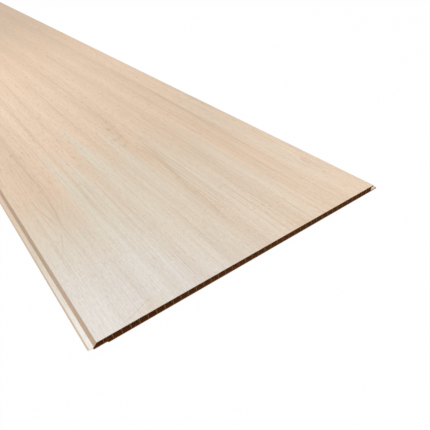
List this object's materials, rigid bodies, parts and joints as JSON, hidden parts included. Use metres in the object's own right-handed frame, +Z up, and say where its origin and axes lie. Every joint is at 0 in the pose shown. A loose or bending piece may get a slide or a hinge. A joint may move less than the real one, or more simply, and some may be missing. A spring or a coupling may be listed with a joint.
{
  "type": "wall cladding panel",
  "caption": "Long hollow plastic wall cladding panel with a pale wood-grain face, a bevelled tongue edge, and a grooved edge with a nailing lip.",
  "frame": {"origin": "under the middle of the panel, on the plane that its back lies on", "axes": "+Y along the panel's length, +Z up out of the decor face, -X to the tongue and +X to the groove and its nailing lip"},
  "size_m": [0.385, 2.6, 0.008],
  "materials": {
    "decor_plastic": "printed pale wood grain, satin and lightly embossed, on the face, bevel, tongue and nailing lip; bare brown plastic at the cut ends, in the cells and on the back"
  },
  "bodies": {
    "root": {"panel": "decor_plastic"}
  },
  "joints": []
}
